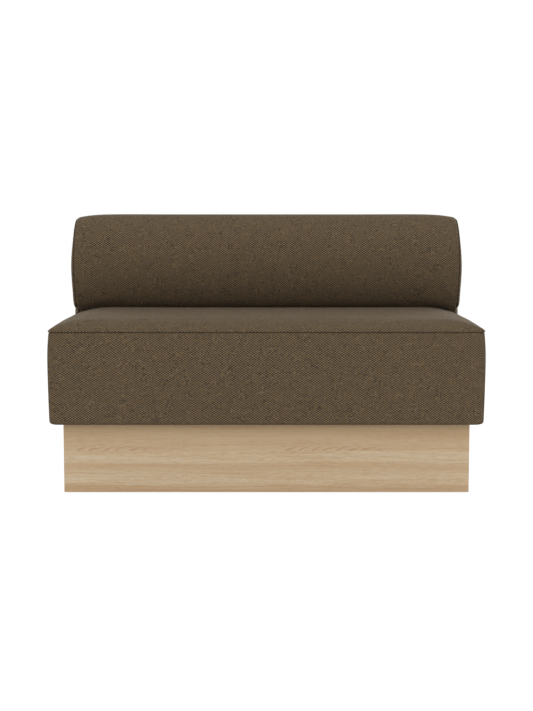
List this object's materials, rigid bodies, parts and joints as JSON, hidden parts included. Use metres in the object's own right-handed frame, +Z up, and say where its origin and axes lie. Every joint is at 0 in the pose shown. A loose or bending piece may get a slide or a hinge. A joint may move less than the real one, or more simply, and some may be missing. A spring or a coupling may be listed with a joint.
{
  "type": "dining sofa",
  "caption": "Upholstered dining sofa with a crowned box seat, a rolled oval back on a narrow neck and a recessed timber plinth on screw-adjusted levelling feet.",
  "frame": {"origin": "on the floor below the middle of the sofa's outline", "axes": "+X along the sofa to the right as seen from the front, +Y from the front to the back, +Z up"},
  "size_m": [1.2, 0.66, 0.764],
  "materials": {
    "oak_veneer": "satin",
    "frame_timber": "matte",
    "frame_board": "matte",
    "woven_cover": "matte",
    "foam_filling": "matte",
    "felt": "matte",
    "dust_cloth": "matte",
    "black_plastic": "matte",
    "zinc_steel": "satin"
  },
  "bodies": {
    "sofa": {"back_bolts": "zinc_steel", "back_cover": "woven_cover", "back_end_cover_left": "woven_cover", "back_end_cover_right": "woven_cover", "back_end_pad_left": "foam_filling", "back_end_pad_right": "foam_filling", "back_fixing_rail": "frame_timber", "back_front_board": "frame_board", "back_lumbar_rail": "frame_timber", "back_neck_pad": "foam_filling", "back_rear_board": "frame_board", "back_rear_wadding": "foam_filling", "back_rib_left": "frame_board", "back_rib_left_end": "frame_board", "back_rib_right": "frame_board", "back_rib_right_end": "frame_board", "back_roll_foam": "foam_filling", "back_top_rail": "frame_timber", "base_bolts": "zinc_steel", "bolt_washers": "zinc_steel", "foot_inserts": "zinc_steel", "long_screws": "zinc_steel", "plinth_cleat_front": "frame_timber", "plinth_cleat_rear": "frame_timber", "plinth_corner_blocks": "frame_timber", "plinth_front_panel": "oak_veneer", "plinth_left_panel": "oak_veneer", "plinth_rear_panel": "oak_veneer", "plinth_right_panel": "oak_veneer", "plinth_stretcher_centre": "frame_timber", "plinth_stretcher_left": "frame_timber", "plinth_stretcher_right": "frame_timber", "seat_band_cover": "woven_cover", "seat_corner_blocks": "frame_timber", "seat_cross_rail_centre": "frame_timber", "seat_cross_rail_left": "frame_timber", "seat_cross_rail_right": "frame_timber", "seat_dust_cover": "dust_cloth", "seat_edge_padding": "foam_filling", "seat_foam": "foam_filling", "seat_front_rail": "frame_timber", "seat_left_rail": "frame_timber", "seat_rear_rail": "frame_timber", "seat_right_rail": "frame_timber", "seat_springs": "zinc_steel", "seat_top_cover": "woven_cover", "seat_topper": "foam_filling", "short_screws": "zinc_steel", "spring_clips": "zinc_steel", "spring_felt": "felt", "tee_nuts": "zinc_steel"},
    "pad_front_left": {"foot_pad_front_left": "black_plastic"},
    "stem_front_left": {"foot_stem_front_left": "zinc_steel"},
    "pad_front_right": {"foot_pad_front_right": "black_plastic"},
    "stem_front_right": {"foot_stem_front_right": "zinc_steel"},
    "pad_rear_left": {"foot_pad_rear_left": "black_plastic"},
    "stem_rear_left": {"foot_stem_rear_left": "zinc_steel"},
    "pad_rear_right": {"foot_pad_rear_right": "black_plastic"},
    "stem_rear_right": {"foot_stem_rear_right": "zinc_steel"}
  },
  "joints": [
    {"name": "foot_front_left_height", "type": "slide", "parent": "sofa", "child": "pad_front_left", "axis": [0, 0, -1], "range_m": [0, 0.012]},
    {"name": "foot_front_left_screw", "type": "hinge", "parent": "pad_front_left", "child": "stem_front_left", "pos_m": [-0.519, -0.249, 0.007], "axis": [0, 0, -1], "range_deg": [-10, 2890]},
    {"name": "foot_front_right_height", "type": "slide", "parent": "sofa", "child": "pad_front_right", "axis": [0, 0, -1], "range_m": [0, 0.012]},
    {"name": "foot_front_right_screw", "type": "hinge", "parent": "pad_front_right", "child": "stem_front_right", "pos_m": [0.519, -0.249, 0.007], "axis": [0, 0, -1], "range_deg": [-10, 2890]},
    {"name": "foot_rear_left_height", "type": "slide", "parent": "sofa", "child": "pad_rear_left", "axis": [0, 0, -1], "range_m": [0, 0.012]},
    {"name": "foot_rear_left_screw", "type": "hinge", "parent": "pad_rear_left", "child": "stem_rear_left", "pos_m": [-0.519, 0.249, 0.007], "axis": [0, 0, -1], "range_deg": [-10, 2890]},
    {"name": "foot_rear_right_height", "type": "slide", "parent": "sofa", "child": "pad_rear_right", "axis": [0, 0, -1], "range_m": [0, 0.012]},
    {"name": "foot_rear_right_screw", "type": "hinge", "parent": "pad_rear_right", "child": "stem_rear_right", "pos_m": [0.519, 0.249, 0.007], "axis": [0, 0, -1], "range_deg": [-10, 2890]}
  ],
  "couplings": [
    {"joint": "foot_front_left_screw", "follows": "foot_front_left_height", "rad_per_m": 4188.8},
    {"joint": "foot_front_right_screw", "follows": "foot_front_right_height", "rad_per_m": 4188.8},
    {"joint": "foot_rear_left_screw", "follows": "foot_rear_left_height", "rad_per_m": 4188.8},
    {"joint": "foot_rear_right_screw", "follows": "foot_rear_right_height", "rad_per_m": 4188.8}
  ]
}
